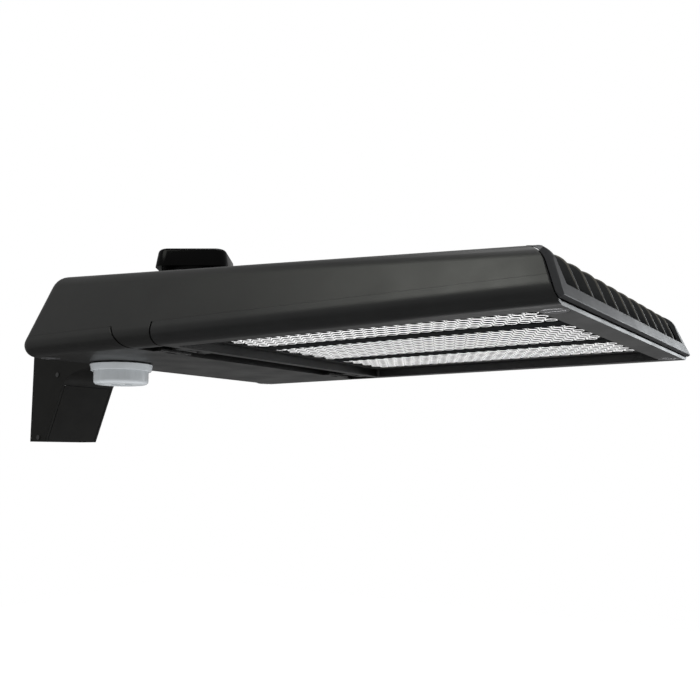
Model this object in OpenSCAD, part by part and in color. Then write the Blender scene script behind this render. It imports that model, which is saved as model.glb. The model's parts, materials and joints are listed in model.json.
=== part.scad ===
// Shoebox area light on a pole arm.
// The origin is the middle of the face that bolts to the pole. +X points away
// from the pole, +Z up. Heights in the modules of the light itself count from
// the flat underside, which lies bottom_z above the origin.

/* [Arm] */
// Width of the arm
arm_w = 86; // [80:1:100]
// Height of the face that bolts to the pole
arm_h = 155; // [145:1:170]
// Depth of the arm at its foot
arm_foot = 31.6; // [28:0.2:36]
// Distance from the pole face to the rear end of the housing
arm_reach = 207.5; // [195:0.5:240]
// Wall of the arm casting
arm_wall = 4; // [3:0.25:6]
// Plate of the arm that bolts to the pole
pole_plate_t = 7; // [6:0.5:10]
// Distance between the two pole bolts
pole_bolt_spacing = 67.31; // [60:0.1:75]
// Radius of the holes for the pole bolts
pole_bolt_r = 7.15; // [6:0.05:8]
// Radius of the wire way through the arm
wire_way_r = 12; // [10:0.5:14]
// Bolts that hold the housing on the arm
head_bolt_r = 4; // [3.5:0.25:4.25]
// Distance between the head bolts, across the arm
head_bolt_spacing = 52; // [48:1:56]
// Flat seal between arm and housing
arm_gasket_t = 2.4; // [1.5:0.1:4]

/* [Housing] */
// Overall length of the light without its arm
body_l = 596.7; // [560:1:640]
// Overall width
body_w = 430; // [400:1:460]
// Height of the roof just ahead of the rear end
rear_h = 91.5; // [86:0.5:100]
// Height of the roof just behind the nose
front_h = 49.5; // [46:0.5:54]
// Radius along the lower edge
edge_r = 13; // [11:0.5:15]
// Radius along the shoulder
shoulder_r = 20; // [16:0.5:24]
// Inward lean of the side walls
side_lean = 21; // [16:0.5:24]
// Lean of the rear wall
rear_lean = 6; // [4:0.5:8]
// Lean of the front face
face_lean = 20.6; // [15:0.1:25]
// Rounding of the nose
nose_r = 20.5; // [16:0.5:24]
// Wall of the castings
wall = 3; // [2.5:0.25:4]
// Height of the parting line round the covers
parting_h = 21.5; // [19:0.5:24]
// Clearance at the parting lines
parting_gap = 0.6; // [0.5:0.05:1]
// Height of the underside of the housing above the middle of the pole face
bottom_z = 8; // [4:0.5:12]

/* [Driver door] */
// Distance from the rear end to the front edge of the door
door_l = 158.2; // [150:0.5:166]
// How far the door's front corners step back at the parting line
door_cheek = 18.5; // [14:0.5:22]

/* [Lens frame] */
// Width of the groove between the two covers
groove_w = 37.8; // [34:0.2:42]
// Floor of the lens frame
frame_t = 3.5; // [3:0.25:4.5]
// Depth of the recess that holds the optics
recess_h = 9.3; // [8:0.1:11]
// Border behind the recess
rear_border = 9.7; // [9.5:0.1:12]
// Border in front of the recess
front_border = 24; // [22:0.5:28]
// Border beside the recess
side_border = 27.25; // [25:0.25:32]

/* [Hinges] */
// Height of the hinge axes above the underside
hinge_z = 2.2; // [2:0.1:2.4]
// Distance from a cover's edge to its hinge axis, into the groove
hinge_out = 8; // [7:0.25:9]
// Radius of the hinge pins
hinge_pin_r = 1.4; // [1.2:0.05:1.6]
// Running clearance round the pins
hinge_clear = 0.06; // [0.03:0.01:0.1]
// Radius of the hinge knuckles
knuckle_r = 2.6; // [2.4:0.1:3]
// Width of the housing's hinge lugs
lug_w = 16; // [12:0.5:20]
// Place of the hinges to either side of the middle
hinge_y = 150; // [130:1:165]
// Length of a hinge pin
hinge_pin_l = 44; // [36:1:50]

/* [Heat sink] */
// Number of fins
fin_count = 10; // [6:2:12]
// Distance from fin to fin
fin_pitch = 35.2; // [32:0.1:36]
// Thickness of a fin
fin_t = 3; // [2.5:0.1:4]
// Height of the fin roots above the underside
fin_root_h = 18.7; // [17:0.1:21]
// Thickness of the plate that carries the fins
sink_plate_t = 4.6; // [4:0.1:5.4]
// Width of the front frame beside its opening
front_side_w = 23.5; // [21:0.25:26]
// Height of the sill of the open front
sill_h = 17.6; // [16:0.1:18.4]

/* [Optics] */
// Distance from cup to cup along the light
cup_pitch = 12; // [11.5:0.1:12.4]
// Radius of a reflector cup
cup_r = 4.7; // [4:0.1:4.9]
// Edge of the middle strip, as a part of the recess's half width
mid_edge = 0.285; // [0.27:0.005:0.3]
// Inner edge of the side strips, as a part of the same
side_in = 0.4235; // [0.4:0.0005:0.44]
// Outer edge of the side strips, as a part of the same
side_out = 0.897; // [0.87:0.001:0.9]
// Rows of cups in a side strip
side_rows = 8; // [6:1:8]
// Rows of cups in the middle strip
mid_rows = 9; // [8:1:9]
// Thickness of the optics
optic_t = 2.6; // [2:0.1:3]
// Thickness of the LED boards
board_t = 1.6; // [1.2:0.1:1.8]

/* [Latches] */
// Radius of the latch heads in the lens frame
frame_latch_r = 11; // [9:0.25:12]
// Radius of the latch heads in the driver door
door_latch_r = 9.75; // [8:0.25:10.5]
// Radius of a latch stud
stud_r = 3.5; // [3:0.1:4]

/* [Sensor] */
// Distance of the sensor from the rear end
sensor_back = 42.5; // [38:0.5:50]
// Place of the sensor across the light
sensor_y = -110; // [-125:1:-95]
// Radius of the sensor's flange
sensor_flange_r = 35; // [32:0.5:38]
// Radius of the sensor's body
sensor_r = 30.5; // [27:0.5:32]
// How far the sensor hangs below the door
sensor_drop = 24; // [20:0.5:28]
// Radius of the threaded neck of the sensor
neck_r = 10; // [8:0.5:12]

/* [Photocontrol] */
// Distance of the photocontrol from the rear end
photo_back = 103.5; // [98:0.5:110]
// Place of the photocontrol across the light
photo_y = -55; // [-65:1:-45]
// Width of the photocontrol
photo_w = 83; // [78:0.5:86]
// Height of the photocontrol's top above the underside of the light
photo_top = 130; // [126:0.5:134]
// Turn of the photocontrol's flat sides
photo_turn = 33; // [0:1:90]
// Angle of the twist lock
twist_angle = 25; // [15:1:28]

/* [Hidden] */
$fn = 48;
HULL_FN = 32;
BIG = 1000;
ARC_STEPS = 10;

// Places along the light
rear_x = arm_reach;
front_x = rear_x + body_l;
door_x = rear_x + door_l;
frame_x = door_x + groove_w;
roof_x = rear_x + 34.5;
nose_x = front_x - 28.2;
lip_x = front_x - 4.2;
recess_x0 = frame_x + rear_border;
recess_x1 = lip_x - front_border;
recess_half_w = body_w / 2 - side_border;
roof_slope = (rear_h - front_h) / (nose_x - roof_x);
function roof_z(x) = rear_h - (x - roof_x) * roof_slope;

// Balls whose hull is the outer form: lower edge and shoulder
low_y = body_w / 2 - edge_r;
low_x = rear_x + edge_r;
function high_y(z) = low_y + (edge_r - z) * tan(side_lean)
    + (edge_r - shoulder_r) / cos(side_lean);
high_x = low_x + (rear_h - shoulder_r - edge_r) * tan(rear_lean)
    + (shoulder_r - edge_r) / cos(rear_lean);
past_x = front_x + 40;

// Front profile, seen from the side
chin_h = frame_t + 2.7;
front_wall = 4.4;
shell_set = 5.2;
function face_x(z) = front_x - (z - chin_h) * tan(face_lean);
nose_corner_x = front_x - (front_h - 1 - chin_h) * tan(face_lean);
nose_corner = [nose_corner_x, roof_z(nose_corner_x)];

// Seats between the covers and the heat sink
sink_bottom = fin_root_h - sink_plate_t;
sink_half_w = low_y - 3;
front_open_half = body_w / 2 - front_side_w;
gasket_gap = 0.3;
door_axis_x = door_x + hinge_out;
frame_axis_x = frame_x - hinge_out;
groove_h = 12.5;
groove_half_w = low_y - 7.2;
bay_wall_x = door_x + 12;
latch_head_t = 2;
stud_clear = 0.6;
frame_latch_x = lip_x - 13;
frame_latch_y = recess_half_w - 5.75;
door_latch_x = rear_x + 17;
door_latch_y = low_y - 15;

// Rear wall, where the arm is bolted on
wall_z0 = 47;
wall_x0 = low_x - edge_r / cos(rear_lean) + (wall_z0 - edge_r) * tan(rear_lean);
head_bolt_z = [-8, 8];
head_plate_t = 13.6;
head_top = 69.5;
head_bottom = 24.5;
pole_low = -arm_h / 2 - bottom_z;
pole_high = arm_h / 2 - bottom_z;

// Roof pad and twist-lock socket
sensor_x = rear_x + sensor_back;
photo_x = rear_x + photo_back;
pad_r = 40;
pad_top = roof_z(photo_x - pad_r) + 0.5;
socket_gasket_t = 1.5;
socket_r = 33;
socket_h = 10;
photo_base_h = 7;
photo_gap = 0.4;
blade_ring_r = 12;
blade_t = 2;
blade_l = 14;
blade_angle = 36;
socket_neck_r = 22;
socket_neck_l = 22;

// Optic strips
strip_x0 = recess_x0 + 12;
cup_columns = floor((recess_x1 - strip_x0 - 20) / cup_pitch + 0.5);
strip_l = (cup_columns - 0.5) * cup_pitch + 2;
strip_x1 = strip_x0 + strip_l;
window_gap = 1.6;
strip_corner_r = 5;
optic_bottom = sink_bottom - board_t - optic_t;
mid_strip = [-mid_edge * recess_half_w, mid_edge * recess_half_w, mid_rows];
near_strip = [-side_out * recess_half_w, -side_in * recess_half_w, side_rows];
far_strip = [side_in * recess_half_w, side_out * recess_half_w, side_rows];
board_margin = 8;
board_screw_out = 5;

BLACK = [0.13, 0.13, 0.125];
DARK = [0.19, 0.19, 0.185];
RUBBER = [0.06, 0.06, 0.06];
STEEL = [0.62, 0.62, 0.6];
GREY = [0.62, 0.64, 0.65];

// Raises what belongs to the light to the height of its underside
module lifted() translate([0, 0, bottom_z]) children();

// Both sides of the light
module both_sides() {
    children();
    mirror([0, 1, 0]) children();
}

// Solid from a profile seen from the side, between two values of y
module side_cut(y0, y1) {
    translate([0, y1, 0]) rotate([90, 0, 0]) linear_extrude(y1 - y0) children();
}

// Box between two corners
module box(a, b) translate(a) cube(b - a);

// Points of an arc of radius r that rounds corner p between directions a0 and a1
function round_corner(p, a0, a1, r, steps = ARC_STEPS) =
    let (turn = a0 - a1, t = r * tan(turn / 2),
         centre = p - t * [cos(a0), sin(a0)] + r * [sin(a0), -cos(a0)])
    [for (i = [0:steps]) let (a = a0 - turn * i / steps)
        centre + r * [-sin(a), cos(a)]];

module ball(r) {
    rotate_extrude($fn = HULL_FN) intersection() {
        circle(r, $fn = HULL_FN);
        translate([0, -r]) square([r, 2 * r]);
    }
}

// The outer form, or the hollow inside it when skin is set
module form(skin = 0) {
    hull() both_sides() {
        for (x = [low_x, past_x])
            translate([x, low_y, edge_r]) ball(edge_r - skin);
        for (x = [high_x, past_x])
            let (z = roof_z(max(x, roof_x)) - shoulder_r)
            translate([x, high_y(z), z]) ball(shoulder_r - skin);
    }
}

// Everything under the roof and behind the front face, set back by inset and
// rounded by r at the nose; the roof is raised behind x0 where over is set
module nose_profile(inset, r, x0 = 0, z0 = -20, over = BIG) {
    corner = nose_corner - [inset, 0];
    x1 = corner[0] - 60;
    polygon(concat([[x0, z0], [x0, roof_z(x0) + over], [x1, roof_z(x1) + min(over, 1)]],
        round_corner(corner, -atan(roof_slope), face_lean - 90, r),
        [[face_x(z0) - inset, z0]]));
}

// Side view of what belongs to the door: behind its curved front edge
module door_profile(gap = 0) {
    top = parting_h + gap;
    polygon(concat([[0, -20], [door_x + gap, -20], [door_x + gap, 0]],
        [for (i = [0:ARC_STEPS]) let (s = i / ARC_STEPS)
            [door_x + gap - door_cheek * pow(s, 0.7), top * s]],
        [[0, top]]));
}

// Side view of what belongs to the lens frame
module frame_profile(gap = 0) {
    translate([frame_x - gap, -20]) square([BIG, 20 + parting_h + gap]);
}

// Lugs that hang from the groove and hold the middle of the hinge pins
module hinge_lugs(x) {
    for (s = [-1, 1]) difference() {
        side_cut(s * hinge_y - lug_w / 2, s * hinge_y + lug_w / 2) {
            translate([x, hinge_z]) circle(knuckle_r);
            translate([x - knuckle_r, hinge_z]) square([2 * knuckle_r, groove_h - hinge_z + 1]);
        }
        pin_at(x, s, lug_w + 2, hinge_pin_r);
    }
}

// Ears of a cover on both sides of each lug, which turn on the pins
module hinge_ears(x, edge_x) {
    ear_in = lug_w / 2 + 0.4;
    ear_out = hinge_pin_l / 2;
    for (s = [-1, 1]) difference() {
        for (m = [0, 1]) translate([0, s * hinge_y, 0]) mirror([0, m, 0])
            side_cut(ear_in, ear_out) {
                translate([x, hinge_z]) circle(knuckle_r);
                translate([min(x, edge_x), 0]) square([abs(edge_x - x), 2 * hinge_z + 0.4]);
            }
        pin_at(x, s, hinge_pin_l + 2, hinge_pin_r + hinge_clear);
    }
}

module pin_at(x, s, l, r) {
    translate([x, s * hinge_y - l / 2, hinge_z]) rotate([-90, 0, 0]) cylinder(h = l, r = r);
}

module rounded_rect(x0, x1, y0, y1, r) {
    translate([x0 + r, y0]) square([x1 - x0 - 2 * r, y1 - y0]);
    translate([x0, y0 + r]) square([x1 - x0, y1 - y0 - 2 * r]);
    for (x = [x0 + r, x1 - r], y = [y0 + r, y1 - r])
        translate([x, y]) circle(r);
}

// ---- Arm ----------------------------------------------------------------

module at_rear_wall() {
    translate([wall_x0, 0, wall_z0]) rotate([0, rear_lean, 0]) children();
}

knee = [arm_foot + 31.4, 1];
throat = [arm_foot + 76.4, 8];
arm_front_top = knee[1] - 12;

// Side view of the arm
module arm_profile() {
    fillet = [for (i = [0:ARC_STEPS]) let (s = i / ARC_STEPS)
        pow(1 - s, 2) * (knee - [0, 12]) + 2 * s * (1 - s) * (knee + [6, 2])
            + s * s * throat];
    polygon(concat([[0, pole_low]], [[0, pole_high], [40, head_top],
        [BIG / 4, head_top], [BIG / 4, head_bottom + 6], [rear_x - 8, head_bottom]],
        [for (i = [ARC_STEPS:-1:0]) fillet[i]], [[arm_foot, pole_low]]));
}

// Sloped front of the arm below the knee, as a band of thickness t
module arm_front(t) {
    run = [knee[0] - arm_foot, arm_front_top - pole_low];
    intersection() {
        translate([arm_foot, pole_low]) rotate(-atan2(run[0], run[1]))
            translate([-t, -t]) square([t, norm(run) + 2 * t]);
        translate([0, -BIG]) square([BIG, BIG + arm_front_top - 0.4]);
    }
}

module arm() {
    half = arm_w / 2;
    inner = half - arm_wall;
    color(BLACK) lifted() difference() {
        intersection() {
            side_cut(-half, half) arm_profile();
            at_rear_wall() box([-BIG, -BIG, -BIG], [-arm_gasket_t, BIG, BIG]);
        }
        // wire space between the two cheeks, open at the foot and the sloped front
        intersection() {
            side_cut(-inner, inner) polygon([[pole_plate_t, pole_low - 1],
                [pole_plate_t, head_top - arm_wall], [BIG / 4, head_top - arm_wall],
                [rear_x - 8, head_bottom + arm_wall + 2], throat + [0, arm_wall + 3],
                knee + [-arm_wall, 2], [knee[0] - arm_wall, arm_front_top],
                [knee[0] + 8, arm_front_top], [knee[0] + 8, pole_low - 1]]);
            at_rear_wall() box([-BIG, -BIG, -BIG],
                [-arm_gasket_t - head_plate_t, BIG, BIG]);
        }
        for (s = [-1, 1]) translate([-1, 0, -bottom_z + s * pole_bolt_spacing / 2])
            rotate([0, 90, 0]) cylinder(h = pole_plate_t + 2, r = pole_bolt_r);
        translate([-1, 0, -bottom_z]) rotate([0, 90, 0])
            cylinder(h = pole_plate_t + 2, r = wire_way_r);
        arm_joint_holes(head_bolt_r + 0.3);
        arm_screw_holes(2.1);
    }
}

arm_screws = [[arm_foot + 20.4, 3], [arm_foot - 14, pole_low + 5.5]];

module arm_screw_holes(r) {
    for (p = arm_screws) translate([p[0], -arm_w, p[1]]) rotate([-90, 0, 0])
        cylinder(h = 2 * arm_w, r = r);
}

// Channel that closes the sloped front, with flanges inside the cheeks
module arm_cover() {
    inner = arm_w / 2 - arm_wall - 0.3;
    color(BLACK) lifted() difference() {
        union() {
            side_cut(-inner, inner) intersection() {
                arm_front(3);
                arm_profile();
            }
            both_sides() side_cut(inner - 4, inner) intersection() {
                union() {
                    arm_front(18);
                    translate(arm_screws[0]) circle(6.5);
                    translate(arm_screws[0] - [6.5, 22]) square([11, 22]);
                }
                translate([pole_plate_t + 0.5, -BIG]) square([BIG, 2 * BIG]);
                arm_profile();
            }
        }
        arm_screw_holes(1.6);
    }
}

module arm_cover_screws() {
    color(STEEL) lifted() both_sides() for (p = arm_screws)
        translate([p[0], arm_w / 2, p[1]]) rotate([90, 0, 0]) {
            cylinder(h = arm_wall + 5, r = 1.6);
            translate([0, 0, -1]) cylinder(h = 1, r = 3.2);
        }
}

module arm_gasket() {
    color(RUBBER) lifted() difference() {
        intersection() {
            side_cut(-arm_w / 2 + 1, arm_w / 2 - 1) arm_profile();
            at_rear_wall() box([-arm_gasket_t, -arm_w, -BIG], [0, arm_w, BIG]);
        }
        arm_joint_holes(head_bolt_r + 0.3);
    }
}

// Head bolts: their heads lie inside the arm, the nuts in the driver bay
module arm_bolts() {
    grip = arm_gasket_t + head_plate_t;
    color(STEEL) lifted() at_rear_wall()
        for (y = [-1, 1], z = head_bolt_z)
        translate([-grip, y * head_bolt_spacing / 2, z]) rotate([0, 90, 0]) {
            cylinder(h = grip + wall + 12, r = head_bolt_r);
            translate([0, 0, -6]) cylinder(h = 6, r = head_bolt_r + 3.4, $fn = 6);
        }
}

module arm_nuts() {
    color(STEEL) lifted() at_rear_wall()
        for (y = [-1, 1], z = head_bolt_z)
        translate([wall + 0.1, y * head_bolt_spacing / 2, z]) rotate([0, 90, 0]) {
            difference() {
                union() {
                    cylinder(h = 1.5, r = head_bolt_r + 3.5);
                    translate([0, 0, 1.5]) cylinder(h = 6, r = head_bolt_r + 3.4, $fn = 6);
                }
                translate([0, 0, -1]) cylinder(h = 12, r = head_bolt_r);
            }
        }
}

module wire_grommet() {
    color(RUBBER) lifted() at_rear_wall() rotate([0, 90, 0])
        difference() {
            union() {
                translate([0, 0, -arm_gasket_t]) cylinder(h = 14, r = wire_way_r - 0.1);
                translate([0, 0, wall + 0.3]) cylinder(h = 3, r = wire_way_r + 1.4);
            }
            translate([0, 0, -10]) cylinder(h = 40, r = wire_way_r - 3.5);
        }
}

// ---- Housing ------------------------------------------------------------

rail_in = low_y - 18;
rail_wall = 2.6;
skirt_x0 = rear_x + 18.5;
skirt_y = low_y - 27;
seal_bar_h = 9.3;
ledge_z = parting_h + parting_gap;
driver_box = [[rear_x + 50.5, low_y - 198], [rear_x + 132.5, low_y - 18], [40, 74]];
surge_box = [[rear_x + 54.5, 20 - low_y], [rear_x + 104.5, 62 - low_y], [46, 74]];
terminal_box = [[rear_x + 24.5, -84], [rear_x + 40.5, -24], [56, 78]];
door_latch_boss_r = stud_r + 4;

// Inner walls, ledges and bosses of the housing
module housing_inside() {
    // wall between driver bay and optic bay
    box([bay_wall_x, -BIG, groove_h], [bay_wall_x + wall, BIG, BIG]);
    // floor of the groove and its ends
    box([door_x - 9, -BIG, groove_h], [frame_x - parting_gap, BIG, groove_h + wall]);
    both_sides() box([door_x - 24, groove_half_w, 0],
        [frame_x - parting_gap, groove_half_w + wall, groove_h + 1]);
    // rails beside the fins
    both_sides() {
        box([bay_wall_x, rail_in, ledge_z], [BIG, rail_in + rail_wall, BIG]);
        box([bay_wall_x, rail_in, ledge_z], [BIG, BIG, ledge_z + wall]);
        translate([door_latch_x, door_latch_y, ledge_z])
            cylinder(h = rear_h, r = door_latch_boss_r);
    }
    // flange round the driver bay
    difference() {
        box([0, -BIG, ledge_z], [bay_wall_x, BIG, ledge_z + wall]);
        box([skirt_x0 + wall, -skirt_y + wall, 0], [bay_wall_x, skirt_y - wall, BIG]);
    }
    for (b = [driver_box, surge_box, terminal_box]) hanging_bosses(b);
}

// Skirt under the flange that the door's seal closes against
module skirt() {
    difference() {
        box([skirt_x0, -skirt_y, groove_h], [door_x - 8, skirt_y, ledge_z + 1]);
        box([skirt_x0 + wall, -skirt_y + wall, 0], [BIG, skirt_y - wall, BIG]);
    }
}

// Bosses from the roof down to the top of a box, at its two ends
function boss_places(b) = let (x = (b[0][0] + b[1][0]) / 2)
    [for (y = [b[0][1] + 5, b[1][1] - 5]) [x, y]];

module hanging_bosses(b) {
    for (p = boss_places(b)) translate([p[0], p[1], b[2][1]])
        cylinder(h = rear_h, r = 5);
}

module housing() {
    color(DARK) lifted() {
        difference() {
            union() {
                difference() {
                    intersection() {
                        form();
                        side_cut(-BIG, BIG) nose_profile(shell_set, nose_r + 6);
                    }
                    difference() {
                        form(wall);
                        housing_inside();
                    }
                }
                translate([photo_x, photo_y, pad_top - 10]) cylinder(h = 10, r = pad_r);
            }
            housing_cuts();
        }
        skirt();
        hinge_lugs(door_axis_x);
        hinge_lugs(frame_axis_x);
    }
}

module housing_cuts() {
    both_sides() side_cut(groove_half_w, BIG) {
        door_profile(parting_gap);
        frame_profile(parting_gap);
    }
    box([0, -groove_half_w, -1], [door_x - 9, groove_half_w, ledge_z]);
    box([door_x - 10, -groove_half_w, -1], [BIG, groove_half_w, groove_h]);
    box([frame_x - parting_gap, -BIG, -1], [BIG, BIG, ledge_z]);
    // open top over the fins
    box([frame_x + 6, -rail_in, 0], [BIG, rail_in, BIG]);
    for (s = [-1, 1]) translate([door_latch_x, s * door_latch_y, 0])
        cylinder(h = ledge_z + 14, r = stud_r + stud_clear);
    translate([photo_x, photo_y, pad_top - socket_neck_l - 18])
        cylinder(h = socket_neck_l + 30, r = socket_neck_r + 0.5);
    arm_joint_holes(head_bolt_r);
    for (b = [driver_box, surge_box, terminal_box], p = boss_places(b))
        translate([p[0], p[1], b[2][1] - 1]) cylinder(h = 9, r = 1.7);
}

// Bolt holes and wire way through the seat of the arm
module arm_joint_holes(r) {
    at_rear_wall() {
        for (y = [-1, 1], z = head_bolt_z)
            translate([-22, y * head_bolt_spacing / 2, z])
            rotate([0, 90, 0]) cylinder(h = 40, r = r);
        translate([-22, 0, 0]) rotate([0, 90, 0]) cylinder(h = 40, r = wire_way_r);
    }
}

// Cuts away what lies beyond the chamfer between front face and side
module bezel_chamfer() {
    n = 6 * [cos(face_lean), 0, sin(face_lean)] + 5 * [0, cos(side_lean), sin(side_lean)];
    u = n / norm(n);
    both_sides() translate([front_x - 1, body_w / 2 - 6, 9])
        rotate([0, -asin(u[2]), atan2(u[1], u[0])])
        translate([0, -BIG / 2, -BIG / 2]) cube(BIG);
}

// Side view of everything under the sloping chin of the front
module under_chin() {
    polygon([[0, -20], [BIG, -20], [BIG, chin_h], [front_x, chin_h],
        [lip_x, frame_t + 0.4], [0, frame_t + 0.4]]);
}

module heat_sink() {
    fin_x0 = frame_x + 12;
    color(DARK) lifted() difference() {
        union() {
            // plate that carries the fins
            box([frame_x + 2, -sink_half_w, sink_bottom],
                [front_x - 10, sink_half_w, fin_root_h]);
            both_sides() box([frame_x + 2, rail_in + 1, fin_root_h],
                [front_x - 24, sink_half_w, ledge_z]);
            for (i = [0:fin_count - 1]) let (y = (i - (fin_count - 1) / 2) * fin_pitch)
                side_cut(y - fin_t / 2, y + fin_t / 2)
                    nose_profile(1, nose_r, fin_x0, fin_root_h - 1, -1.5);
            // front frame
            difference() {
                intersection() {
                    form();
                    side_cut(-BIG, BIG) nose_profile(0, nose_r);
                }
                side_cut(-BIG, BIG) nose_profile(front_wall, nose_r + 5.6);
                box([0, -front_open_half, sill_h], [BIG, front_open_half, BIG]);
                bezel_chamfer();
            }
            box([front_x - 16, -sink_half_w, frame_t + 0.4],
                [front_x - 6.5, sink_half_w, sill_h]);
            for (s = [-1, 1]) translate([frame_latch_x, s * frame_latch_y, frame_t + 0.6])
                cylinder(h = sink_bottom - frame_t, r = stud_r + 3.5);
        }
        side_cut(-BIG, BIG) under_chin();
        for (s = [-1, 1]) translate([frame_latch_x, s * frame_latch_y, 0])
            cylinder(h = fin_root_h - 1.5, r = stud_r + stud_clear);
        sink_screw_places() translate([0, 0, -1]) cylinder(h = 20, r = 2.1);
        optic_screw_places() translate([0, 0, sink_bottom - 1]) cylinder(h = 4, r = 1.4);
    }
}

module sink_screw_places() {
    both_sides() for (x = [frame_x + 20, (frame_x + lip_x) / 2, lip_x - 45])
        translate([x, (rail_in + sink_half_w) / 2, sink_bottom]) children();
}

module heat_sink_screws() {
    color(STEEL) lifted() sink_screw_places() {
        translate([0, 0, -1.6]) cylinder(h = 1.6, r = 3.6);
        cylinder(h = ledge_z - sink_bottom, r = 2.1);
    }
}

// ---- Driver door --------------------------------------------------------

// Shell that both covers are cut from
module cover_shell() {
    difference() {
        form();
        form(wall);
    }
}

module door_latch_places() {
    for (s = [-1, 1]) translate([door_latch_x, s * door_latch_y, 0]) children();
}

module driver_door() {
    color(DARK) lifted() difference() {
        union() {
            intersection() {
                cover_shell();
                both_sides() side_cut(-1, BIG) intersection() {
                    door_profile();
                    translate([0, -1]) square([BIG, parting_h + 1]);
                }
            }
            // front bar and the rim that carries the seal
            box([door_x - 8, -groove_half_w + parting_gap, 0],
                [door_x, groove_half_w - parting_gap, seal_bar_h]);
            door_rim();
            hinge_ears(door_axis_x, door_x - 1);
            door_latch_places() cylinder(h = 7, r = door_latch_r + 2.5);
        }
        door_latch_places() {
            translate([0, 0, -1]) cylinder(h = 1 + latch_head_t + 0.4, r = door_latch_r + 0.4);
            translate([0, 0, -1]) cylinder(h = 20, r = stud_r + 0.3);
        }
        translate([sensor_x, sensor_y, -1]) cylinder(h = 10, r = neck_r + 0.3);
    }
}

// Standing rim inside the door, under the skirt of the housing
module door_rim() {
    difference() {
        box([skirt_x0, -skirt_y, 1], [door_x - 1, skirt_y, seal_bar_h]);
        box([skirt_x0 + wall, -skirt_y + wall, 0], [door_x - 7, skirt_y - wall, BIG]);
    }
}

module door_gasket() {
    color(RUBBER) lifted() difference() {
        box([skirt_x0 - 1, -skirt_y - 1, seal_bar_h],
            [door_x - 2, skirt_y + 1, groove_h - gasket_gap]);
        box([skirt_x0 + wall + 1, -skirt_y + wall + 1, 0],
            [door_x - 8, skirt_y - wall - 1, BIG]);
    }
}

module hinge_pins(x) {
    color(STEEL) lifted() for (s = [-1, 1]) pin_at(x, s, hinge_pin_l, hinge_pin_r);
}

module door_hinge_pins() hinge_pins(door_axis_x);

// Quarter-turn stud with its head flush under a cover
module latch(x, y, head_r, stud_top) {
    color(STEEL) lifted() translate([x, y, 0]) difference() {
        union() {
            cylinder(h = latch_head_t, r = head_r);
            cylinder(h = stud_top, r = stud_r);
        }
        translate([-head_r * 0.7, -0.8, -1]) cube([head_r * 1.4, 1.6, 2]);
    }
}

module door_latch_near() latch(door_latch_x, -door_latch_y, door_latch_r, ledge_z + 2);

module door_latch_far() latch(door_latch_x, door_latch_y, door_latch_r, ledge_z + 2);

module frame_latch_near() latch(frame_latch_x, -frame_latch_y, frame_latch_r, sink_bottom + 1);

module frame_latch_far() latch(frame_latch_x, frame_latch_y, frame_latch_r, sink_bottom + 1);

// ---- Driver bay ---------------------------------------------------------

module hung_box(b, h) {
    lo = [b[0][0], b[0][1], b[2][0]];
    hi = [b[1][0], b[1][1], b[2][1]];
    difference() {
        union() {
            box([lo[0], lo[1] + 12, lo[2]], [hi[0], hi[1] - 12, hi[2]]);
            box([lo[0] + 3, lo[1], hi[2] - h], [hi[0] - 3, hi[1], hi[2]]);
        }
        for (p = boss_places(b)) translate([p[0], p[1], lo[2]])
            cylinder(h = BIG, r = 2.1);
    }
}

module driver() {
    color(GREY) lifted() hung_box(driver_box, 2);
}

module surge_protector() {
    color(BLACK) lifted() hung_box(surge_box, 3);
}

// Middles of the three wire clamps
function clamp_places() = let (mid = (terminal_box[0][1] + terminal_box[1][1]) / 2)
    [for (i = [-1:1]) mid + i * 12];

module terminal_block() {
    color([0.85, 0.85, 0.82]) lifted() difference() {
        hung_box(terminal_box, 4);
        for (y = clamp_places()) box([terminal_box[0][0] - 1, y - 3.5, terminal_box[2][0] + 3],
            [terminal_box[0][0] + 7, y + 3.5, terminal_box[2][0] + 13]);
    }
}

module driver_screws() {
    color(STEEL) lifted() for (b = [driver_box, surge_box, terminal_box],
        p = boss_places(b)) translate([p[0], p[1], b[2][1]]) {
            head_z = b == driver_box ? 2 : b == surge_box ? 3 : 4;
            translate([0, 0, -head_z - 2]) cylinder(h = 2, r = 3.6);
            translate([0, 0, -head_z]) cylinder(h = head_z + 7, r = 1.7);
        }
}

// ---- Lens frame ---------------------------------------------------------

module frame_latch_places() {
    for (s = [-1, 1]) translate([frame_latch_x, s * frame_latch_y, 0]) children();
}

panel_t = 2;

module lens_frame() {
    color(DARK) lifted() difference() {
        union() {
            intersection() {
                cover_shell();
                side_cut(-BIG, BIG) intersection() {
                    translate([frame_x, -1]) square([lip_x - frame_x, parting_h + 1]);
                    nose_profile(shell_set, nose_r + 6);
                }
            }
            box([frame_x, -low_y, 1], [lip_x, low_y, frame_t]);
            // walls of the recess, and the panel round the optics
            translate([0, 0, 1]) linear_extrude(recess_h + panel_t - 1)
                rounded_rect(recess_x0 - 2.5, recess_x1 + 2.5, -recess_half_w - 2.5,
                    recess_half_w + 2.5, 6);
            box([frame_x, -groove_half_w, 0], [recess_x0 - 1, groove_half_w, recess_h - 1]);
            hinge_ears(frame_axis_x, frame_x + 1);
        }
        translate([0, 0, -1]) linear_extrude(recess_h + 1)
            rounded_rect(recess_x0, recess_x1, -recess_half_w, recess_half_w, 4);
        translate([0, 0, recess_h - 1]) linear_extrude(BIG)
            for (s = [near_strip, mid_strip, far_strip]) rounded_rect(strip_x0 - window_gap,
                strip_x1 + window_gap, s[0] - window_gap, s[1] + window_gap,
                strip_corner_r + window_gap);
        frame_latch_places() {
            translate([0, 0, -1]) cylinder(h = 1 + latch_head_t + 0.4, r = frame_latch_r + 0.4);
            translate([0, 0, -1]) cylinder(h = 20, r = stud_r + 0.3);
        }
    }
}

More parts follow.
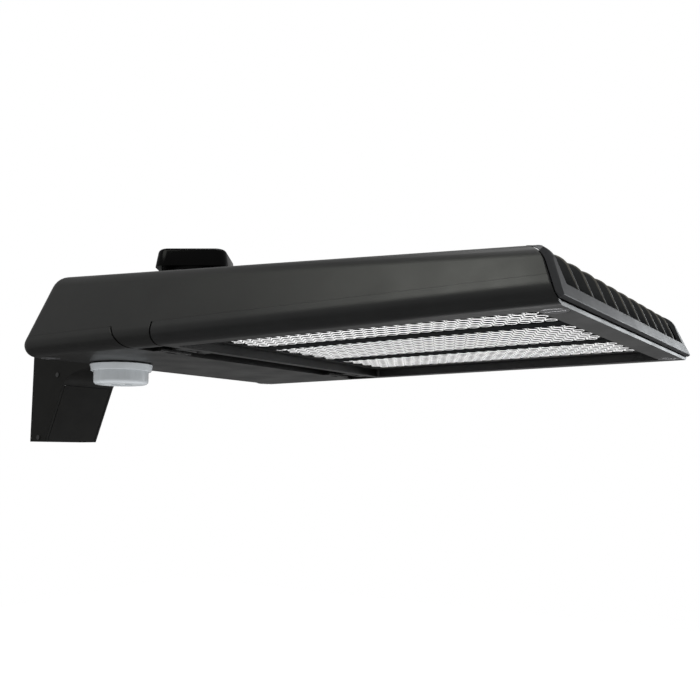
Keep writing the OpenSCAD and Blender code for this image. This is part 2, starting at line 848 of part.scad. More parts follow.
module lens_gasket() {
    z0 = recess_h + panel_t;
    color(RUBBER) lifted() translate([0, 0, z0]) linear_extrude(sink_bottom - z0 - gasket_gap)
        difference() {
            rounded_rect(recess_x0 + 1, recess_x1 - 1, -recess_half_w + 2,
                recess_half_w - 2, 6);
            rounded_rect(recess_x0 + 6, recess_x1 - 6, -recess_half_w + 7,
                recess_half_w - 7, 4);
        }
}

module frame_hinge_pins() hinge_pins(frame_axis_x);

// ---- Optics -------------------------------------------------------------

// One strip of reflector cups in staggered columns
module optic(s) {
    pitch_y = (s[1] - s[0] - 2 * cup_r - 2) / (s[2] - 1);
    color([0.93, 0.93, 0.93]) lifted() translate([0, 0, optic_bottom])
        linear_extrude(optic_t) difference() {
            rounded_rect(strip_x0, strip_x1, s[0], s[1], strip_corner_r);
            for (r = [0:s[2] - 1], c = [0:cup_columns - 2])
                translate([strip_x0 + cup_pitch / 2 + 1 + (c + (r % 2) / 2) * cup_pitch,
                    s[0] + cup_r + 1 + r * pitch_y]) circle(cup_r, $fn = 24);
        }
}

module led_board(s) {
    color([0.9, 0.9, 0.86]) lifted() translate([0, 0, sink_bottom - board_t])
        linear_extrude(board_t)
        difference() {
            rounded_rect(strip_x0 - 2, strip_x1 + 2, s[0] - board_margin,
                s[1] + board_margin, strip_corner_r);
            for (x = board_screw_x, y = [s[0] - board_screw_out, s[1] + board_screw_out])
                translate([x, y]) circle(1.6);
        }
}

module optic_near() optic(near_strip);

module optic_middle() optic(mid_strip);

module optic_far() optic(far_strip);

module led_board_near() led_board(near_strip);

module led_board_middle() led_board(mid_strip);

module led_board_far() led_board(far_strip);

board_screw_x = [strip_x0 + 60, strip_x1 - 60];

// Board screws lie just outside the strips, behind the panel
module optic_screw_places() {
    for (s = [near_strip, mid_strip, far_strip], x = board_screw_x,
        y = [s[0] - board_screw_out, s[1] + board_screw_out])
        translate([x, y, 0]) children();
}

module optic_screws() {
    color(STEEL) lifted() optic_screw_places() {
        translate([0, 0, sink_bottom - board_t - 0.7]) cylinder(h = 0.7, r = 2.8);
        translate([0, 0, sink_bottom - board_t - 0.1]) cylinder(h = board_t + 2.6, r = 1.4);
    }
}

// ---- Sensor -------------------------------------------------------------

module at_sensor() {
    lifted() translate([sensor_x, sensor_y, 0]) children();
}

sensor_seal_t = 1.5;
sensor_flange_t = 7.5;
sensor_top = -sensor_seal_t - sensor_flange_t;
neck_top = wall + 8;

module sensor_gasket() {
    color(RUBBER) at_sensor() translate([0, 0, -sensor_seal_t]) difference() {
        cylinder(h = sensor_seal_t, r = sensor_flange_r - 1.5);
        translate([0, 0, -1]) cylinder(h = sensor_seal_t + 2, r = neck_r + 0.3);
    }
}

module sensor_base() {
    color([0.78, 0.79, 0.79]) at_sensor() difference() {
        union() {
            translate([0, 0, sensor_top]) cylinder(h = sensor_flange_t,
                r1 = sensor_flange_r - 1.6, r2 = sensor_flange_r);
            translate([0, 0, -sensor_seal_t - 1]) cylinder(h = neck_top + sensor_seal_t + 1,
                r = neck_r);
        }
        translate([0, 0, -BIG / 2]) cylinder(h = BIG, r = neck_r - 3);
    }
}

module sensor_body() {
    round_r = 4;
    color([0.8, 0.81, 0.81]) at_sensor() rotate_extrude() difference() {
        union() {
            translate([0, -sensor_drop + round_r])
                square([sensor_r, sensor_drop + sensor_top - round_r]);
            translate([0, -sensor_drop]) square([sensor_r - round_r, round_r + 1]);
            translate([sensor_r - round_r, -sensor_drop + round_r]) circle(round_r);
        }
        translate([0, -sensor_drop - 1]) square([13.2, 8]);
        translate([0, -sensor_drop]) square([neck_r - 3, sensor_drop]);
        translate([-BIG, -BIG]) square([BIG, 2 * BIG]);
    }
}

module sensor_lens() {
    lens_r = 13;
    color([0.9, 0.9, 0.9]) at_sensor() translate([0, 0, -sensor_drop + 7])
        rotate_extrude() intersection() {
            translate([0, -7 - 2]) square([lens_r, 9]);
            translate([0, 13]) circle(20);
        }
}

module sensor_nut() {
    color(GREY) at_sensor() translate([0, 0, wall]) difference() {
        cylinder(h = 6, r = neck_r * 1.5, $fn = 6);
        translate([0, 0, -1]) cylinder(h = 8, r = neck_r);
    }
}

// ---- Photocontrol -------------------------------------------------------

socket_z = pad_top + socket_gasket_t;

module at_photo() {
    lifted() translate([photo_x, photo_y, 0]) children();
}

module receptacle_gasket() {
    color(RUBBER) at_photo() translate([0, 0, pad_top]) difference() {
        cylinder(h = socket_gasket_t, r = socket_r + 2);
        translate([0, 0, -1]) cylinder(h = 4, r = socket_neck_r + 0.5);
    }
}

module receptacle() {
    color(BLACK) at_photo() difference() {
        union() {
            translate([0, 0, socket_z]) cylinder(h = socket_h, r = socket_r);
            translate([0, 0, socket_z - socket_neck_l]) cylinder(h = socket_neck_l + 1,
                r = socket_neck_r);
        }
        translate([0, 0, socket_z + socket_h - blade_l - 8]) rotate(-3) blade_ring_slots();
    }
}

module blade_ring_slots() {
    linear_extrude(BIG) for (i = [0:2]) rotate(i * 120) arc_band(0.5, -twist_angle - 3,
        blade_angle + 6);
}

// Flat band along the blade ring between two angles
module arc_band(grow, a0, a1) {
    r = blade_ring_r;
    mid = (a0 + a1) / 2;
    intersection() {
        difference() {
            circle(r + blade_t / 2 + grow);
            circle(r - blade_t / 2 - grow);
        }
        polygon([[0, 0], 30 * [cos(a0), sin(a0)], 40 * [cos(mid), sin(mid)],
            30 * [cos(a1), sin(a1)]]);
    }
}

module photocontrol_blades() {
    z0 = socket_z + socket_h + photo_gap;
    color([0.75, 0.6, 0.3]) at_photo() translate([0, 0, z0 - blade_l]) linear_extrude(blade_l)
        for (i = [0:2]) rotate(i * 120) arc_band(0, 0, blade_angle);
}

// Rounded puck whose upper rim has its own radius
module puck(r, edge, h) {
    translate([0, 0, h - edge]) rotate_extrude($fn = HULL_FN) intersection() {
        union() {
            translate([r - edge, 0]) circle(edge, $fn = HULL_FN);
            translate([0, -edge]) square([r - edge, 2 * edge]);
        }
        translate([0, -edge]) square([r, 2 * edge]);
    }
}

module photocontrol() {
    z0 = socket_z + socket_h + photo_gap;
    corner = 13;
    low = photo_w / 2 - corner;
    high = low - 2.2;
    color(BLACK) at_photo() {
        translate([0, 0, z0]) cylinder(h = photo_base_h + 1, r = photo_w / 2 - 1);
        rotate(photo_turn) hull() {
            for (x = [-1, 1], y = [-1, 1]) {
                translate([x * low, y * low, z0 + photo_base_h]) cylinder(h = 1,
                    r = corner, $fn = HULL_FN);
                translate([x * high, y * high, z0 + photo_base_h])
                    puck(corner, 5.5, photo_top - z0 - photo_base_h);
            }
        }
    }
}

arm();
arm_cover();
arm_cover_screws();
arm_gasket();
arm_bolts();
arm_nuts();
wire_grommet();
housing();
heat_sink();
heat_sink_screws();
driver_door();
door_gasket();
door_hinge_pins();
door_latch_near();
door_latch_far();
driver();
driver_screws();
surge_protector();
terminal_block();
lens_frame();
lens_gasket();
frame_hinge_pins();
frame_latch_near();
frame_latch_far();
optic_near();
optic_middle();
optic_far();
led_board_near();
led_board_middle();
led_board_far();
optic_screws();
sensor_gasket();
sensor_base();
sensor_body();
sensor_lens();
sensor_nut();
receptacle_gasket();
receptacle();
photocontrol();
photocontrol_blades();
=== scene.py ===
"""Shoebox area light on a pole arm: finishes, cups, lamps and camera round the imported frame."""

import json
import math

import bmesh
import bpy
from mathutils import Euler, Matrix, Vector


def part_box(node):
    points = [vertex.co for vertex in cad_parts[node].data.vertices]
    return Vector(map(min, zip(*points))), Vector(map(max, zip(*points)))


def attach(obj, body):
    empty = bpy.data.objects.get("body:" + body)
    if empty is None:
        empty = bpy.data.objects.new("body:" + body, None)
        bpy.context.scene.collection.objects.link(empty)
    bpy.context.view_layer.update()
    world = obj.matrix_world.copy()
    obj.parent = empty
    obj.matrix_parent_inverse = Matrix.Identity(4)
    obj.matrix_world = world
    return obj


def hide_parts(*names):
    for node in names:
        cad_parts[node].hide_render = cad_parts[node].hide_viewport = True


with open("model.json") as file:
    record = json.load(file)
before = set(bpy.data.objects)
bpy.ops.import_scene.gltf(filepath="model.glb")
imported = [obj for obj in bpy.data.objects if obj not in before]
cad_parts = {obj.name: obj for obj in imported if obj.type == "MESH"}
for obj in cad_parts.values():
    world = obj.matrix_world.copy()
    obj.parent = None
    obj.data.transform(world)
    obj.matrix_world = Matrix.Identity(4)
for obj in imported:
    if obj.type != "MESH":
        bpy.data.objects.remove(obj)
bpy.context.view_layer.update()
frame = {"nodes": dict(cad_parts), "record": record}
bpy.ops.object.select_all(action="DESELECT")

MM = 0.001
BODY_OF_NODE = {}
for body, nodes in frame["record"]["behaviour"]["bodies"].items():
    for node in nodes:
        BODY_OF_NODE[node] = body
SLOT_OF_NODE = {part["node"]: part["material_slot"] for part in frame["record"]["subparts"]}

# Height of the light's flat underside
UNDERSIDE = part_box("sensor_gasket")[1].z

# ---- Camera ----------------------------------------------------------------

# Place in metres, turn and lift in degrees, lens and sensor in millimetres
CAMERA_PLACE = (0.9924, -0.7744, -0.0970)
CAMERA_TURN = 32.94
CAMERA_LIFT = 7.17
CAMERA_LENS = 43.38
SENSOR_WIDTH = 36.0
CLIP_NEAR = 0.01
CLIP_FAR = 100


def add_camera():
    """Camera at the photograph's place, looking up at the underside."""
    turn = Euler((math.radians(90 + CAMERA_LIFT), 0, math.radians(CAMERA_TURN)))
    bpy.ops.object.camera_add(location=CAMERA_PLACE, rotation=turn)
    camera = bpy.context.object
    camera.data.sensor_width = SENSOR_WIDTH
    camera.data.lens = CAMERA_LENS
    camera.data.clip_start = CLIP_NEAR
    camera.data.clip_end = CLIP_FAR
    bpy.context.scene.camera = camera


# ---- Studio ----------------------------------------------------------------

FLOOR_PLACE = (0.4, 0, -1.1)
FLOOR_SIZE = 9.0
FLOOR_GREY = 0.14
FLOOR_ROUGH = 0.9
# Glow of the floor to the camera, and the soft light that it sends to matt surfaces
FLOOR_SHINE = 0.94
FLOOR_SOFT = 2.3
# Strength of the sky's soft light, and of what gloss sees of it low down and overhead
SKY_SOFT = 0.9
SKY_LOW = 0.33
SKY_HIGH = 0.12
# Upward part of a direction at which the sky in gloss starts to darken, and is darkest
DARK_FROM = 0.72
DARK_TO = 0.95


def add_lamp(name, place, target, size, power, colour=(1, 1, 1)):
    """Soft square lamp at place, aimed at target."""
    bpy.ops.object.light_add(type="AREA", location=place)
    lamp = bpy.context.object
    lamp.name = name
    aim = Vector(target) - Vector(place)
    lamp.rotation_euler = aim.to_track_quat("-Z", "Y").to_euler()
    lamp.data.size = size
    lamp.data.energy = power
    lamp.data.color = colour


def background(tree, strength):
    """White background of the given strength in a world's node tree."""
    sky = tree.nodes.new("ShaderNodeBackground")
    sky.inputs["Color"].default_value = (1, 1, 1, 1)
    sky.inputs["Strength"].default_value = strength
    return sky.outputs[0]


def pick(tree, chooser, first, second):
    """Shader that is first, or second where chooser is 1."""
    mix = tree.nodes.new("ShaderNodeMixShader")
    tree.links.new(chooser, mix.inputs[0])
    tree.links.new(first, mix.inputs[1])
    tree.links.new(second, mix.inputs[2])
    return mix.outputs[0]


def add_world():
    """White to the camera, soft white light, and in gloss a grey sky that darkens overhead."""
    world = bpy.data.worlds.new("studio")
    bpy.context.scene.world = world
    world.use_nodes = True
    tree = world.node_tree
    tree.nodes.remove(tree.nodes["Background"])
    rays = tree.nodes.new("ShaderNodeLightPath")
    place = tree.nodes.new("ShaderNodeTexCoord")
    direction = tree.nodes.new("ShaderNodeSeparateXYZ")
    tree.links.new(place.outputs["Generated"], direction.inputs[0])
    height = tree.nodes.new("ShaderNodeMapRange")
    height.interpolation_type = "SMOOTHSTEP"
    height.inputs["From Min"].default_value = DARK_FROM
    height.inputs["From Max"].default_value = DARK_TO
    tree.links.new(direction.outputs["Z"], height.inputs["Value"])
    gloss = pick(tree, height.outputs["Result"], background(tree, SKY_LOW),
                 background(tree, SKY_HIGH))
    seen = pick(tree, rays.outputs["Is Glossy Ray"], background(tree, SKY_SOFT), gloss)
    for ray in ("Is Transmission Ray", "Is Camera Ray"):
        seen = pick(tree, rays.outputs[ray], seen, background(tree, 1))
    tree.links.new(seen, tree.nodes["World Output"].inputs["Surface"])


def add_floor():
    """Floor far below: white to the camera but for the shadow, and a soft light from below."""
    bpy.ops.mesh.primitive_plane_add(size=FLOOR_SIZE, location=FLOOR_PLACE)
    floor = bpy.context.object
    floor.name = "floor"
    material = bpy.data.materials.new("pale_floor")
    material.use_nodes = True
    tree = material.node_tree
    paint = tree.nodes["Principled BSDF"]
    paint.inputs["Base Color"].default_value = (FLOOR_GREY, FLOOR_GREY, FLOOR_GREY, 1)
    paint.inputs["Roughness"].default_value = FLOOR_ROUGH
    paint.inputs["Specular IOR Level"].default_value = 0.0
    glow = tree.nodes.new("ShaderNodeEmission")
    glow.inputs["Strength"].default_value = FLOOR_SHINE
    pale = tree.nodes.new("ShaderNodeAddShader")
    tree.links.new(paint.outputs[0], pale.inputs[0])
    tree.links.new(glow.outputs[0], pale.inputs[1])
    soft = tree.nodes.new("ShaderNodeEmission")
    soft.inputs["Strength"].default_value = FLOOR_SOFT
    rays = tree.nodes.new("ShaderNodeLightPath")
    seen = pick(tree, rays.outputs["Is Diffuse Ray"], paint.outputs[0], soft.outputs[0])
    seen = pick(tree, rays.outputs["Is Camera Ray"], seen, pale.outputs[0])
    tree.links.new(seen, tree.nodes["Material Output"].inputs["Surface"])
    floor.data.materials.append(material)


bpy.context.scene.view_settings.view_transform = "Standard"
add_camera()
add_world()
add_floor()

# Place, target, width in metres, watts and tint
add_lamp("front_lamp", (1.8, 2.9, 0.4), (0.8, 0.05, 0.02), 1.2, 21, (0.93, 0.97, 1.0))
add_lamp("side_lamp", (0.05, -1.5, 1.5), (0.65, -0.2, 0.05), 1.0, 11.5, (0.98, 1.0, 0.92))
add_lamp("low_lamp", (0.25, 1.0, -1.05), (0.55, 0, 0.02), 0.6, 2.5)
add_lamp("top_lamp", (0.4, 0.6, 2.8), (0.4, 0, 0.05), 1.8, 20)

# ---- Finishes --------------------------------------------------------------


class Finish:
    """A Principled material whose bump, tint and gloss vary over Object coordinates."""

    def __init__(self, name, colour, rough, metal=0.0, gloss=0.5):
        self.material = bpy.data.materials.new(name)
        self.material.use_nodes = True
        self.tree = self.material.node_tree
        self.paint = self.tree.nodes["Principled BSDF"]
        self.colour = (*colour, 1)
        self.rough = rough
        self.paint.inputs["Base Color"].default_value = self.colour
        self.paint.inputs["Roughness"].default_value = rough
        self.paint.inputs["Metallic"].default_value = metal
        self.paint.inputs["Specular IOR Level"].default_value = gloss
        self.place = self.tree.nodes.new("ShaderNodeTexCoord").outputs["Object"]
        self.normal = None
        self.material.diffuse_color = self.colour

    def noise(self, scale, detail):
        """Noise of about one blob to each 1/scale metres."""
        node = self.tree.nodes.new("ShaderNodeTexNoise")
        node.inputs["Scale"].default_value = scale
        node.inputs["Detail"].default_value = detail
        self.tree.links.new(self.place, node.inputs["Vector"])
        return node.outputs["Fac"]

    def spread(self, value, low, high):
        """value from 0.3 to 0.7 becomes low to high."""
        node = self.tree.nodes.new("ShaderNodeMapRange")
        node.inputs["From Min"].default_value = 0.3
        node.inputs["From Max"].default_value = 0.7
        node.inputs["To Min"].default_value = low
        node.inputs["To Max"].default_value = high
        self.tree.links.new(value, node.inputs["Value"])
        return node.outputs["Result"]

    def grain(self, scale, height, detail=2.0):
        """Bump of height metres; further calls add to it."""
        bump = self.tree.nodes.new("ShaderNodeBump")
        bump.inputs["Distance"].default_value = height
        bump.inputs["Strength"].default_value = 1.0
        self.tree.links.new(self.noise(scale, detail), bump.inputs["Height"])
        if self.normal:
            self.tree.links.new(self.normal, bump.inputs["Normal"])
        self.normal = bump.outputs["Normal"]
        self.tree.links.new(self.normal, self.paint.inputs["Normal"])
        return self

    def mottle(self, scale, amount):
        """Colour that varies softly between darker and lighter by amount."""
        mix = self.tree.nodes.new("ShaderNodeMix")
        mix.data_type = "RGBA"
        mix.inputs["A"].default_value = (*[c * (1 - amount) for c in self.colour[:3]], 1)
        mix.inputs["B"].default_value = (*[min(1, c * (1 + amount)) for c in self.colour[:3]], 1)
        self.tree.links.new(self.spread(self.noise(scale, 4.0), 0, 1), mix.inputs["Factor"])
        self.tree.links.new(mix.outputs["Result"], self.paint.inputs["Base Color"])
        return self

    def smudge(self, scale, amount):
        """Roughness that varies by amount to both sides."""
        value = self.spread(self.noise(scale, 3.0), self.rough - amount, self.rough + amount)
        self.tree.links.new(value, self.paint.inputs["Roughness"])
        return self

    def reckon(self, kind, first, second):
        """Result of a Math node; second is a number or another node's result."""
        node = self.tree.nodes.new("ShaderNodeMath")
        node.operation = kind
        self.tree.links.new(first, node.inputs[0])
        if isinstance(second, float):
            node.inputs[1].default_value = second
        else:
            self.tree.links.new(second, node.inputs[1])
        return node.outputs["Value"]

    def matt_bars(self, half_width, first_x, last_x):
        """No gloss on the bars between the strips, which see only the dark optic bay."""
        place = self.tree.nodes.new("ShaderNodeSeparateXYZ")
        self.tree.links.new(self.place, place.inputs[0])
        across = self.reckon("ABSOLUTE", place.outputs["Y"], 0.0)
        glossy = self.reckon("GREATER_THAN", across, half_width)
        for kind, bound in (("LESS_THAN", first_x), ("GREATER_THAN", last_x)):
            beyond = self.reckon(kind, place.outputs["X"], bound)
            glossy = self.reckon("MAXIMUM", glossy, beyond)
        gloss = self.paint.inputs["Specular IOR Level"]
        self.tree.links.new(self.reckon("MULTIPLY", glossy, gloss.default_value), gloss)
        return self


def coated(name, colour, rough, gloss):
    """Fine textured powder coat, to which more can be added."""
    finish = Finish(name, colour, rough, gloss=gloss)
    finish.grain(900, 0.03 * MM, 3.0).grain(120, 0.02 * MM)
    return finish.mottle(60, 0.12).smudge(25, 0.05)


def powder_coat(name, colour, rough, gloss):
    """Fine textured powder coat on cast aluminium."""
    return coated(name, colour, rough, gloss).material


def moulded(name, colour, rough, gloss=0.5, grain=0.01 * MM):
    """Moulded plastic, rubber or board coat."""
    finish = Finish(name, colour, rough, gloss=gloss)
    finish.grain(700, grain).mottle(40, 0.06).smudge(18, 0.06)
    return finish.material


def metal(name, colour, rough):
    """Bare or plated metal."""
    finish = Finish(name, colour, rough, metal=1.0)
    finish.grain(1500, 0.01 * MM).mottle(90, 0.08).smudge(60, 0.08)
    return finish.material


strip_low, strip_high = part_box("optic_far")
frame_coat = coated("frame_coat", (0.0058, 0.0062, 0.0064), 0.4, 0.5)
frame_coat.matt_bars(strip_low.y, strip_low.x, strip_high.x)

FINISHES = {
    "arm_finish": powder_coat("arm_coat", (0.0054, 0.0053, 0.0047), 0.55, 0.2),
    "housing_finish": powder_coat("housing_coat", (0.0052, 0.0054, 0.0050), 0.4, 0.5),
    "sink_finish": powder_coat("sink_coat", (0.0125, 0.0135, 0.0152), 0.42, 0.5),
    # Darker copy of the heat sink's coat, for the fins and the plate over the boards: painted
    # shade
    "sink_painted_shade": powder_coat("sink_painted_shade", (0.006, 0.0057, 0.005), 0.55, 0.2),
    # Lighter copy of the heat sink's coat on the fins' rounded long edges: a painted highlight
    "fin_painted_highlight": powder_coat("fin_painted_highlight", (0.075, 0.07, 0.058), 0.45, 0.4),
    "barred": frame_coat.material,
    "steel": metal("zinc_steel", (0.55, 0.55, 0.54), 0.35),
    "rim_steel": metal("rim_steel", (0.8, 0.8, 0.82), 0.2),
    "latch_finish": powder_coat("stud_coat", (0.03, 0.03, 0.034), 0.3, 0.5),
    "seal": moulded("black_silicone", (0.01, 0.01, 0.01), 0.6, 0.3),
    "driver_case": metal("driver_case", (0.6, 0.61, 0.62), 0.45),
    "surge_case": moulded("surge_case", (0.02, 0.02, 0.02), 0.5),
    "terminal_plastic": moulded("terminal_white", (0.7, 0.7, 0.66), 0.45),
    # Bowls of the bright metal cups, made nearly black: painted shade inside the cups
    "optic_finish": metal("cup_bowl_painted_shade", (0.03, 0.03, 0.032), 0.12),
    # Rims of the bright metal cups, made white: a painted highlight
    "cup_rim_painted_highlight": moulded("cup_rim_painted_highlight", (0.95, 0.95, 0.95), 0.12, 1.0, 0.003 * MM),
    "board": moulded("board_mask", (0.008, 0.008, 0.008), 0.7, 0.05),
    "sensor_plastic": moulded("sensor_grey", (0.335, 0.355, 0.37), 0.3),
    "sensor_window": moulded("sensor_window", (0.37, 0.39, 0.4), 0.2),
    "control_plastic": moulded("control_black", (0.0015, 0.0015, 0.0015), 0.2, 0.08, 0.002 * MM),
    "blade_brass": metal("blade_brass", (0.6, 0.42, 0.15), 0.3),
    "dark_screw": metal("dark_screw", (0.1, 0.1, 0.1), 0.35),
}

# ---- CAD nodes -------------------------------------------------------------

# Least angle of an edge that shows as sharp, most of one that is flat, and the merge distance
SHARP = math.radians(32)
FLAT = math.radians(0.4)
WELD = 0.01 * MM

# Width in millimetres of the small rounded edges that catch the light
ROUNDED = {"housing": 0.4, "heat_sink": 0.5, "driver_door": 0.4, "lens_frame": 0.4,
           "arm": 0.6, "arm_cover": 0.4, "driver": 0.8, "surge_protector": 0.8,
           "terminal_block": 0.5, "sensor_base": 0.5, "receptacle": 0.6,
           "arm_bolts": 0.3, "arm_nuts": 0.3}

# Finish of the few nodes that differ from their slot, and of a latch's head and its rim
OWN_FINISH = {"arm_cover_screws": "dark_screw", "door_hinge_pins": "dark_screw",
              "frame_hinge_pins": "dark_screw", "lens_frame": "barred"}
LATCH_FINISHES = ("latch_finish", "rim_steel")
LATCH_RIM = 0.4 * MM

# Optic strips, whose cups are made below, and their rows of cups
ROWS = {"optic_near": 8, "optic_middle": 9, "optic_far": 8}

# Heat sink: its coat with painted shade and a painted highlight, half width and foot of the fins,
# their rounded edges, and the plate above the boards
SINK_COAT_AND_PAINTED_LIGHT = ("sink_finish", "sink_painted_shade", "fin_painted_highlight")
FIN_ROOM = 0.175
FIN_FOOT = UNDERSIDE + 20.5 * MM
FIN_EDGE_WIDTH = 1.1 * MM
PLATE_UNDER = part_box("led_board_near")[1].z
PLATE_REACH = 0.3 * MM

# Seam between covers and housing, and how far a cover's edge rises and leans in to close it
SEAM_Z = UNDERSIDE + 21.5 * MM
SEAM_LOW = SEAM_Z - MM
SEAM_HIGH = SEAM_Z + 1.2 * MM
SEAM_REACH = 0.05 * MM
SEAM_SIDE_Y = 0.15
SEAM_CLOSE = 0.47 * MM
SEAM_LEAN = 0.38

# Start and length of the shell's end, which the heat sink's frame covers
SHELL_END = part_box("housing")[1].x - 6 * MM
SHELL_END_LENGTH = 12 * MM

# Seams across the cheeks: the edge that is set back, how far, and its reach along each cover
CHEEK_Y = 0.196
CHEEK_BACK = 1.1 * MM
DOOR_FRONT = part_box("driver_door")[1].x
DOOR_REACH = 0.03
FRAME_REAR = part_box("lens_frame")[0].x
FRAME_REACH = 0.012


def only(*objs):
    """Selects the given objects and makes the first one active."""
    bpy.ops.object.select_all(action="DESELECT")
    for obj in objs:
        obj.select_set(True)
    bpy.context.view_layer.objects.active = objs[0]


def give(piece, *finishes):
    """Puts finishes on a piece; its faces take the first one."""
    piece.data.materials.clear()
    for finish in finishes:
        piece.data.materials.append(FINISHES[finish])


def pick_verts(piece, test):
    """Selects the vertices that pass the test, in edit mode."""
    bpy.ops.object.mode_set(mode="EDIT")
    bpy.ops.mesh.select_mode(type="VERT")
    bpy.ops.mesh.select_all(action="DESELECT")
    mesh = bmesh.from_edit_mesh(piece.data)
    for vert in mesh.verts:
        vert.select = test(vert.co)
    mesh.select_flush_mode()
    bmesh.update_edit_mesh(piece.data)


def pick_edges(piece, test):
    """Selects the sharp edges that pass the test, in edit mode."""
    bpy.ops.object.mode_set(mode="EDIT")
    bpy.ops.mesh.select_mode(type="EDGE")
    bpy.ops.mesh.select_all(action="DESELECT")
    mesh = bmesh.from_edit_mesh(piece.data)
    for edge in mesh.edges:
        sharp = len(edge.link_faces) == 2 and edge.calc_face_angle(0) > SHARP
        edge.select = sharp and test(*[v.co for v in edge.verts])
    bmesh.update_edit_mesh(piece.data)


def welded(node):
    """Copy of a CAD node with its triangles merged, in its own place."""
    source = frame["nodes"][node]
    piece = source.copy()
    piece.data = source.data.copy()
    piece.name = node + "_piece"
    piece.parent = None
    piece.matrix_world = Matrix.Identity(4)
    bpy.context.scene.collection.objects.link(piece)
    only(piece)
    bpy.ops.object.mode_set(mode="EDIT")
    bpy.ops.mesh.select_all(action="SELECT")
    bpy.ops.mesh.remove_doubles(threshold=WELD)
    bpy.ops.mesh.dissolve_limited(angle_limit=FLAT)
    bpy.ops.object.mode_set(mode="OBJECT")
    return piece


def round_edges(piece, width, test=lambda a, b: True, segments=2, finish=-1):
    """Small rounded edges where two faces meet sharply, with a finish of their own if given."""
    pick_edges(piece, test)
    bpy.ops.mesh.bevel(offset=width, segments=segments, affect="EDGES", material=finish)
    bpy.ops.object.mode_set(mode="OBJECT")


def finish_piece(piece, node, finish=None):
    """Smooth shading, finish and body of a piece that stands for a CAD node."""
    only(piece)
    bpy.ops.object.shade_smooth_by_angle(angle=SHARP)
    if node in ROUNDED:
        even = piece.modifiers.new("even", "WEIGHTED_NORMAL")
        even.keep_sharp = True
        bpy.ops.object.modifier_apply(modifier="even")
    if len(piece.data.materials) < 2:
        give(piece, finish or SLOT_OF_NODE[node])
    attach(piece, BODY_OF_NODE[node])
    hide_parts(node)


def off_seam(a, b):
    """False for edges that lie along the seam between the covers and the housing."""
    return min(a.z, b.z) < SEAM_LOW or max(a.z, b.z) > SEAM_HIGH


def off_seam_and_end(a, b):
    """Like off_seam, and false for the shell's end, which the heat sink's frame covers."""
    at_end = min(a.x, b.x) > SHELL_END and max(a.x, b.x) < SHELL_END + SHELL_END_LENGTH
    return off_seam(a, b) and not (at_end and min(a.z, b.z) > SEAM_HIGH)


def close_seam(piece):
    """Brings a cover's upper edge close to the housing, so that the seam hardly shows."""
    for side in (-1, 1):
        pick_verts(piece, lambda co: abs(co.z - SEAM_Z) < SEAM_REACH and co.y * side > SEAM_SIDE_Y)
        bpy.ops.transform.translate(value=(0, -side * SEAM_CLOSE * SEAM_LEAN, SEAM_CLOSE))
        bpy.ops.object.mode_set(mode="OBJECT")


def open_cheek_gap(piece, shift_x, first_x, last_x):
    """Sets the cheek's edge back a little where the real seam shows as a dark gap."""
    pick_verts(piece, lambda co: first_x < co.x < last_x and abs(co.y) > CHEEK_Y)
    bpy.ops.transform.translate(value=(shift_x, 0, 0))
    bpy.ops.object.mode_set(mode="OBJECT")


def on_fin(a, b):
    """True for the long edges of the fins, above their feet."""
    return (max(abs(a.y), abs(b.y)) < FIN_ROOM and min(a.z, b.z) > FIN_FOOT
            and abs(a.y - b.y) < WELD)


def darken(piece, test):
    """Paints shade on the heat sink: its darker coat goes on the faces whose corners pass the
    test.
    """
    pick_verts(piece, test)
    piece.active_material_index = SINK_COAT_AND_PAINTED_LIGHT.index("sink_painted_shade")
    bpy.ops.object.material_slot_assign()
    bpy.ops.object.mode_set(mode="OBJECT")


def paint_fin_shade_and_highlight(piece):
    """Paints shade on the fins and the optic plate, and rounds the fins' long edges, which catch
    light, with a painted highlight on them.
    """
    give(piece, *SINK_COAT_AND_PAINTED_LIGHT)
    darken(piece, lambda co: abs(co.y) < FIN_ROOM and co.z > FIN_FOOT)
    darken(piece, lambda co: abs(co.z - PLATE_UNDER) < PLATE_REACH)
    round_edges(piece, FIN_EDGE_WIDTH, on_fin, 3, SINK_COAT_AND_PAINTED_LIGHT.index("fin_painted_highlight"))


def dress(node):
    """Finished copy of a CAD node, with its seams, fins or bare rims shaped first."""
    piece = welded(node)
    if node == "driver_door":
        close_seam(piece)
        open_cheek_gap(piece, -CHEEK_BACK, DOOR_FRONT - DOOR_REACH, DOOR_FRONT)
    elif node == "lens_frame":
        close_seam(piece)
        open_cheek_gap(piece, CHEEK_BACK, FRAME_REAR, FRAME_REAR + FRAME_REACH)
    elif node == "heat_sink":
        paint_fin_shade_and_highlight(piece)
    elif "latch" in node:
        give(piece, *LATCH_FINISHES)
        round_edges(piece, LATCH_RIM, finish=LATCH_FINISHES.index("rim_steel"))
    if node in ROUNDED:
        round_edges(piece, ROUNDED[node] * MM, off_seam_and_end)
    finish_piece(piece, node, OWN_FINISH.get(node))


for node in frame["nodes"]:
    if node not in ROWS:
        dress(node)

# ---- Reflector cups --------------------------------------------------------

CUP_PITCH = 12.0 * MM
CUP_SIDES = 12
# Radius and height in millimetres, from the foot of the rim over its crest and down the bowl
RIM_STEPS = ((5.5, 0.5), (5.45, 0.15), (5.25, 0.0), (4.8, 0.0), (4.65, 0.2))
BOWL_STEPS = ((4.65, 0.2), (3.9, 1.5), (2.2, 2.3), (1.4, 1.9))
# From a strip's corner to the first cup, the strip's bare ends, and the lift of its carrier
CORNER_TO_CUP_X = 7.0 * MM
CORNER_TO_CUP_Y = 5.9 * MM
BARE_ENDS = 2 * MM
CARRIER_LIFT = 0.5 * MM


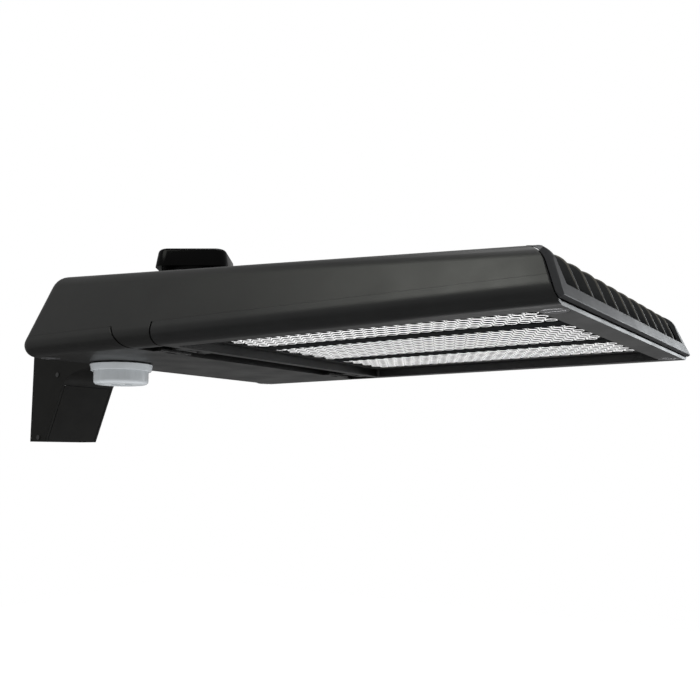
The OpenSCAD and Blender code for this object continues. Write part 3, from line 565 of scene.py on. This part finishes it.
def turned_shell(steps, low_z, closed):
    """Thin round shell drawn out ring by ring, with an end cap if closed."""
    radius, height = steps[0]
    bpy.ops.mesh.primitive_circle_add(vertices=CUP_SIDES, radius=radius * MM,
                                      fill_type="NOTHING",
                                      location=(0, 0, low_z + height * MM))
    shell = bpy.context.object
    bpy.ops.object.mode_set(mode="EDIT")
    bpy.ops.mesh.select_mode(type="EDGE")
    bpy.ops.mesh.select_all(action="SELECT")
    for next_radius, next_height in steps[1:]:
        bpy.ops.mesh.extrude_region_move(
            TRANSFORM_OT_translate={"value": (0, 0, (next_height - height) * MM)})
        share = next_radius / radius
        bpy.ops.transform.resize(value=(share, share, 1))
        radius, height = next_radius, next_height
    if closed:
        bpy.ops.mesh.edge_face_add()
    bpy.ops.mesh.select_all(action="SELECT")
    bpy.ops.mesh.normals_make_consistent(inside=False)
    bpy.ops.mesh.flip_normals()
    bpy.ops.object.mode_set(mode="OBJECT")
    only(shell)
    bpy.ops.object.transform_apply(location=True, rotation=True, scale=True)
    return shell


def repeat(piece, count, step):
    """Array of a piece, applied."""
    only(piece)
    run = piece.modifiers.new("run", "ARRAY")
    run.use_relative_offset = False
    run.use_constant_offset = True
    run.constant_offset_displace = step
    run.count = count
    bpy.ops.object.modifier_apply(modifier="run")


def shift(piece, place):
    """Moves a piece and puts its place in its mesh."""
    piece.location = place
    only(piece)
    bpy.ops.object.transform_apply(location=True, rotation=True, scale=True)


def cup_rows(node, name, steps, closed):
    """The same turned shell in every cup of a strip, in staggered rows."""
    low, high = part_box(node)
    rows = ROWS[node]
    columns = int((high.x - low.x - BARE_ENDS) / CUP_PITCH)
    row_pitch = (high.y - low.y - 2 * CORNER_TO_CUP_Y) / (rows - 1)
    halves = []
    for half in range(2):
        cup = turned_shell(steps, low.z, closed)
        repeat(cup, columns, (CUP_PITCH, 0, 0))
        repeat(cup, (rows + 1 - half) // 2, (0, 2 * row_pitch, 0))
        shift(cup, (low.x + CORNER_TO_CUP_X + half * CUP_PITCH / 2,
                    low.y + CORNER_TO_CUP_Y + half * row_pitch, 0))
        halves.append(cup)
    only(*halves)
    bpy.ops.object.join()
    strip = bpy.context.object
    strip.name = f"{node}_{name}"
    return strip


def cup_strip(node):
    """Rims with a painted highlight, bowls with painted shade, and the dark carrier between them,
    in the place of one optic node.
    """
    rims = cup_rows(node, "rims", RIM_STEPS, False)
    bowls = cup_rows(node, "bowls", BOWL_STEPS, True)
    carrier = welded(node)
    carrier.name = node + "_carrier"
    shift(carrier, (0, 0, CARRIER_LIFT))
    finish_piece(rims, node, "cup_rim_painted_highlight")
    finish_piece(bowls, node)
    finish_piece(carrier, node, "board")


for node in ROWS:
    cup_strip(node)
